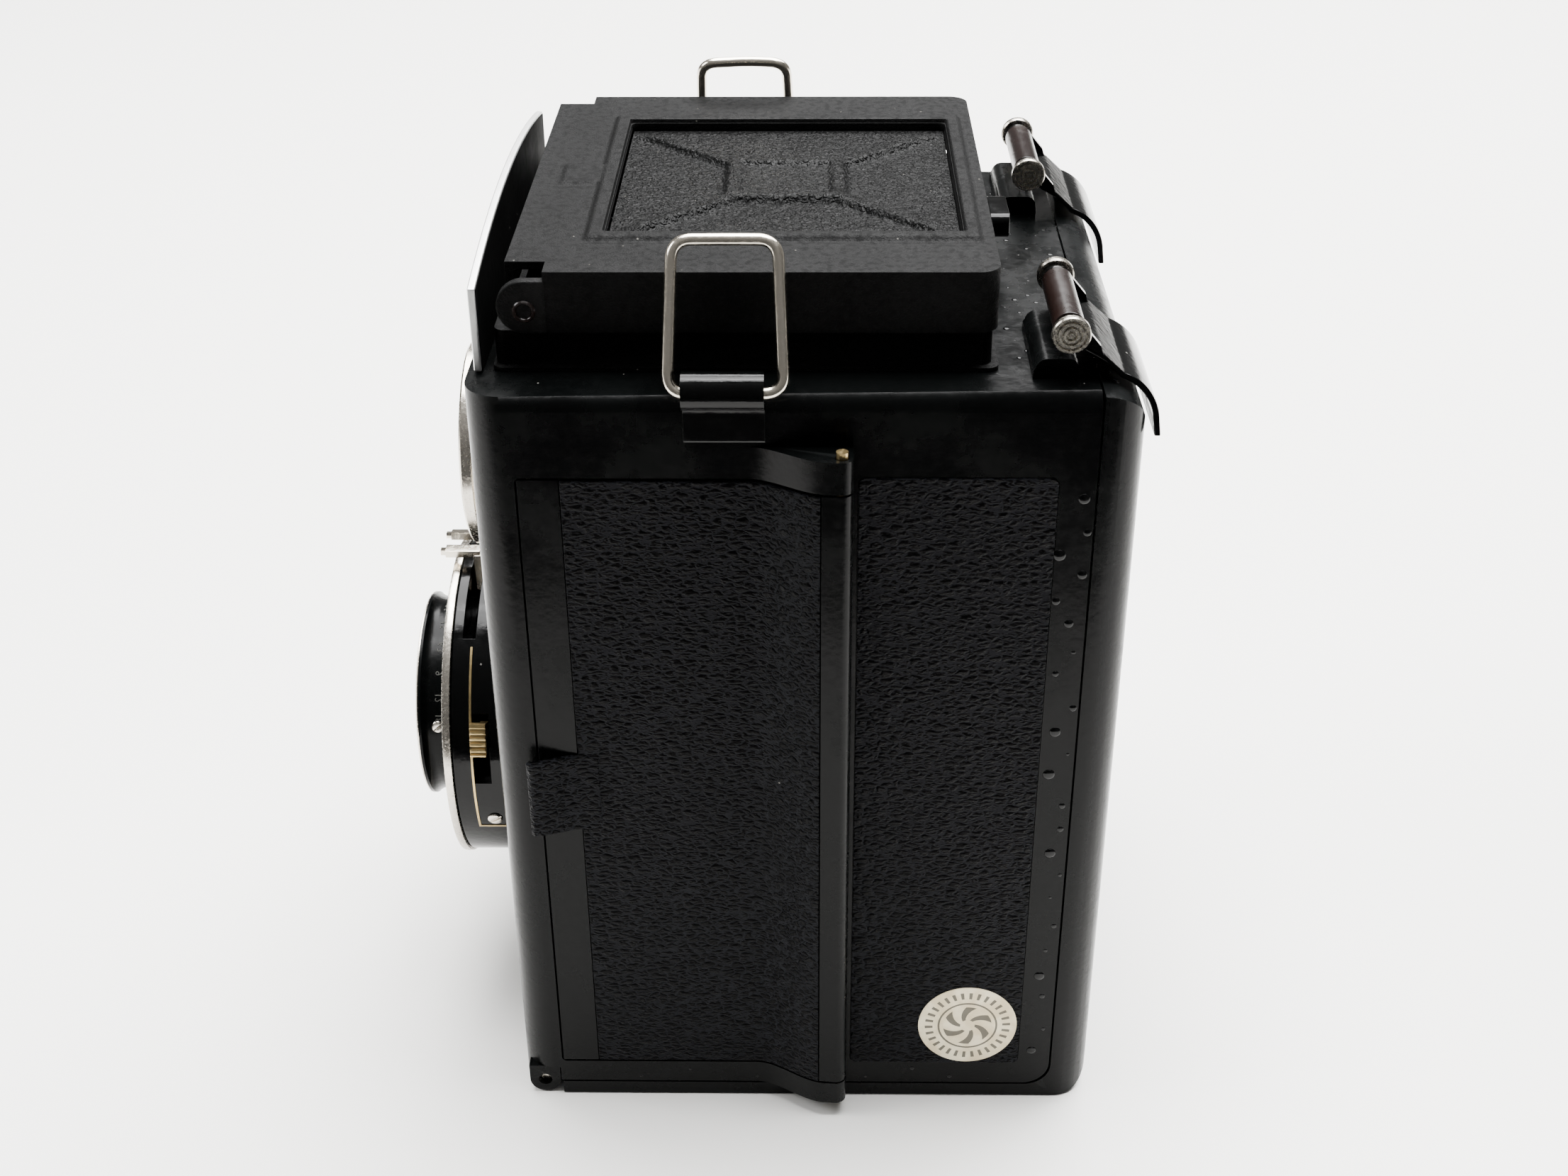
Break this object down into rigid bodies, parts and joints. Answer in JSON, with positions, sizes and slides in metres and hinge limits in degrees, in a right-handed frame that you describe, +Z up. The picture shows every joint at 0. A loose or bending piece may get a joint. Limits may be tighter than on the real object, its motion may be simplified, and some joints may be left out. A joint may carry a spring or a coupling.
{
  "type": "twin lens reflex camera",
  "caption": "Box-shaped roll film camera with a viewing lens above a taking lens, folding light hood, side spool doors, hinged back with roller latches and wire strap loops.",
  "frame": {"origin": "centre of the underside, under the middle of the casing", "axes": "+Z up through the hood, -Y towards the lenses, +X to the viewer's left"},
  "size_m": [0.0976, 0.107, 0.1398],
  "materials": {
    "black_enamel": "gloss black enamel, worn satin on the sides",
    "black_leather": "fine wrinkled black grain",
    "black_crackle": "matt black crackle paint",
    "black_sheet": "dull black paint",
    "nickel": "warm worn nickel plating",
    "brass_pin": "plain brass",
    "ground_glass": "finely ground",
    "lens_glass": "clear polished",
    "mirror_silver": "front-silvered",
    "spool_paint": "satin black"
  },
  "bodies": {
    "camera_body": {"front_wall": "black_enamel", "top_plate": "black_enamel", "side_wall_left": "black_enamel", "side_wall_right": "black_enamel", "side_leather_left": "black_leather", "side_leather_right": "black_leather", "fascia_plate": "nickel", "fascia_panel": "black_enamel", "film_chamber": "black_enamel", "film_gate": "nickel", "reflex_mirror": "mirror_silver", "focusing_screen": "ground_glass", "viewing_lens_mount": "black_enamel", "hood_base": "black_crackle", "hood_rivet_left": "nickel", "hood_rivet_right": "nickel", "strap_lug_left": "black_enamel", "strap_lug_right": "black_enamel", "spool_door_pin_left": "brass_pin", "spool_door_pin_right": "brass_pin", "back_hinge_pin": "nickel"},
    "back_door": {"back_door": "black_enamel", "back_leather": "black_leather", "tripod_bush": "nickel"},
    "pressure_plate": {"pressure_plate": "black_sheet"},
    "latch_left": {"latch_arm_left": "black_enamel"},
    "latch_right": {"latch_arm_right": "black_enamel"},
    "latch_roller_left": {"latch_roller_left": "nickel"},
    "latch_roller_right": {"latch_roller_right": "nickel"},
    "spool_door_left": {"spool_door_left": "black_enamel", "door_leather_left": "black_leather"},
    "spool_door_right": {"spool_door_right": "black_enamel", "door_leather_right": "black_leather"},
    "supply_spool": {"film_spool_left": "spool_paint"},
    "take_up_spool": {"film_spool_right": "spool_paint"},
    "guide_roller_left": {"guide_roller_left": "nickel"},
    "guide_roller_right": {"guide_roller_right": "nickel"},
    "shutter_unit": {"shutter_housing": "black_enamel", "shutter_rim": "nickel", "taking_lens_barrel": "black_enamel", "taking_lens_glass": "lens_glass", "iris_diaphragm": "black_sheet"},
    "viewing_lens": {"viewing_lens_barrel": "nickel", "viewing_lens_glass": "lens_glass"},
    "focus_lever": {"focus_lever": "nickel"},
    "cocking_lever": {"cocking_lever": "nickel"},
    "aperture_lever": {"aperture_lever": "nickel"},
    "release_lever": {"release_lever": "nickel"},
    "hood_lid": {"hood_lid": "black_crackle", "finder_panel": "black_crackle"},
    "hood_button": {"hood_latch_button": "black_sheet"},
    "hood_wing_left": {"hood_wing_left": "black_sheet"},
    "hood_wing_right": {"hood_wing_right": "black_sheet"},
    "hood_back_flap": {"hood_back_flap": "black_sheet"},
    "magnifier": {"magnifier_frame": "nickel", "magnifier_glass": "lens_glass"},
    "strap_loop_left": {"strap_loop_left": "nickel"},
    "strap_loop_right": {"strap_loop_right": "nickel"},
    "advance_lever": {"advance_lever": "nickel"},
    "counter_dial": {"counter_dial": "nickel"}
  },
  "joints": [
    {"name": "back_door_hinge", "type": "hinge", "parent": "camera_body", "child": "back_door", "pos_m": [0, -0.041, 0.0024], "axis": [1, 0, 0], "range_deg": [-100, 0]},
    {"name": "pressure_plate_travel", "type": "slide", "parent": "back_door", "child": "pressure_plate", "axis": [0, 1, 0], "range_m": [0, 0.0008], "stiffness_N_per_m": 300},
    {"name": "latch_left_hinge", "type": "hinge", "parent": "back_door", "child": "latch_left", "pos_m": [0.03, 0.045, 0.1126], "axis": [1, 0, 0], "range_deg": [-95, 0]},
    {"name": "latch_right_hinge", "type": "hinge", "parent": "back_door", "child": "latch_right", "pos_m": [-0.03, 0.045, 0.1126], "axis": [1, 0, 0], "range_deg": [-95, 0]},
    {"name": "latch_roller_left_spin", "type": "hinge", "parent": "latch_left", "child": "latch_roller_left", "pos_m": [0.03, 0.033, 0.127], "axis": [1, 0, 0], "continuous": true},
    {"name": "latch_roller_right_spin", "type": "hinge", "parent": "latch_right", "child": "latch_roller_right", "pos_m": [-0.03, 0.033, 0.127], "axis": [1, 0, 0], "continuous": true},
    {"name": "spool_door_left_hinge", "type": "hinge", "parent": "camera_body", "child": "spool_door_left", "pos_m": [0.0466, 0.0043, 0.0575], "axis": [0, 0, 1], "range_deg": [0, 100]},
    {"name": "spool_door_right_hinge", "type": "hinge", "parent": "camera_body", "child": "spool_door_right", "pos_m": [-0.0466, 0.0043, 0.0575], "axis": [0, 0, 1], "range_deg": [-100, 0]},
    {"name": "supply_spool_spin", "type": "hinge", "parent": "camera_body", "child": "supply_spool", "pos_m": [0.0282, -0.0256, 0.046], "axis": [0, 0, 1], "continuous": true},
    {"name": "take_up_spool_spin", "type": "hinge", "parent": "camera_body", "child": "take_up_spool", "pos_m": [-0.0282, -0.0256, 0.046], "axis": [0, 0, 1], "continuous": true},
    {"name": "guide_roller_left_spin", "type": "hinge", "parent": "camera_body", "child": "guide_roller_left", "pos_m": [0.0374, 0.0328, 0.0463], "axis": [0, 0, 1], "continuous": true},
    {"name": "guide_roller_right_spin", "type": "hinge", "parent": "camera_body", "child": "guide_roller_right", "pos_m": [-0.0374, 0.0328, 0.0463], "axis": [0, 0, 1], "continuous": true},
    {"name": "focus_travel", "type": "slide", "parent": "camera_body", "child": "shutter_unit", "axis": [0, -1, 0], "range_m": [0, 0.005]},
    {"name": "viewing_lens_travel", "type": "slide", "parent": "camera_body", "child": "viewing_lens", "axis": [0, -1, 0], "range_m": [0, 0.005]},
    {"name": "focus_lever_turn", "type": "hinge", "parent": "camera_body", "child": "focus_lever", "pos_m": [0, -0.044, 0.0463], "axis": [0, -1, 0], "range_deg": [0, 90]},
    {"name": "cocking_lever_turn", "type": "hinge", "parent": "shutter_unit", "child": "cocking_lever", "pos_m": [0, -0.0516, 0.0463], "axis": [0, 1, 0], "range_deg": [0, 28]},
    {"name": "aperture_lever_turn", "type": "hinge", "parent": "shutter_unit", "child": "aperture_lever", "pos_m": [0, -0.0516, 0.0463], "axis": [0, -1, 0], "range_deg": [0, 24]},
    {"name": "release_lever_turn", "type": "hinge", "parent": "shutter_unit", "child": "release_lever", "pos_m": [0, -0.0498, 0.0463], "axis": [0, 1, 0], "range_deg": [0, 9], "stiffness_Nm_per_rad": 0.02},
    {"name": "hood_lid_hinge", "type": "hinge", "parent": "camera_body", "child": "hood_lid", "pos_m": [0, -0.0362, 0.1287], "axis": [1, 0, 0], "range_deg": [0, 90]},
    {"name": "hood_button_press", "type": "slide", "parent": "hood_lid", "child": "hood_button", "axis": [0, -1, 0], "range_m": [0, 0.0008], "stiffness_N_per_m": 250},
    {"name": "hood_wing_left_hinge", "type": "hinge", "parent": "camera_body", "child": "hood_wing_left", "pos_m": [0.0334, -0.0086, 0.12735], "axis": [0, 1, 0], "range_deg": [0, 90]},
    {"name": "hood_wing_right_hinge", "type": "hinge", "parent": "camera_body", "child": "hood_wing_right", "pos_m": [-0.0334, -0.0086, 0.12735], "axis": [0, 1, 0], "range_deg": [-90, 0]},
    {"name": "hood_back_flap_hinge", "type": "hinge", "parent": "camera_body", "child": "hood_back_flap", "pos_m": [0, 0.0212, 0.1262], "axis": [1, 0, 0], "range_deg": [-90, 0]},
    {"name": "magnifier_pivot", "type": "hinge", "parent": "hood_lid", "child": "magnifier", "pos_m": [0, -0.0062, 0.1302], "axis": [1, 0, 0], "range_deg": [-90, 0]},
    {"name": "strap_loop_left_swing", "type": "hinge", "parent": "camera_body", "child": "strap_loop_left", "pos_m": [0.0454, -0.0107, 0.1214], "axis": [0, 1, 0], "range_deg": [0, 185]},
    {"name": "strap_loop_right_swing", "type": "hinge", "parent": "camera_body", "child": "strap_loop_right", "pos_m": [-0.0454, -0.0107, 0.1214], "axis": [0, -1, 0], "range_deg": [0, 185]},
    {"name": "advance_lever_turn", "type": "hinge", "parent": "camera_body", "child": "advance_lever", "pos_m": [-0.0435, 0.02, 0.088], "axis": [1, 0, 0], "range_deg": [0, 110], "stiffness_Nm_per_rad": 0.03},
    {"name": "counter_dial_spin", "type": "hinge", "parent": "camera_body", "child": "counter_dial", "pos_m": [-0.0435, 0.02, 0.052], "axis": [1, 0, 0], "continuous": true}
  ],
  "couplings": [
    {"joint": "viewing_lens_travel", "follows": "focus_travel", "ratio": 1},
    {"joint": "focus_lever_turn", "follows": "focus_travel", "rad_per_m": 313.85},
    {"joint": "hood_wing_left_hinge", "follows": "hood_lid_hinge", "ratio": 1},
    {"joint": "hood_wing_right_hinge", "follows": "hood_lid_hinge", "ratio": -1},
    {"joint": "hood_back_flap_hinge", "follows": "hood_lid_hinge", "ratio": -1},
    {"joint": "magnifier_pivot", "follows": "hood_lid_hinge", "ratio": -1}
  ]
}
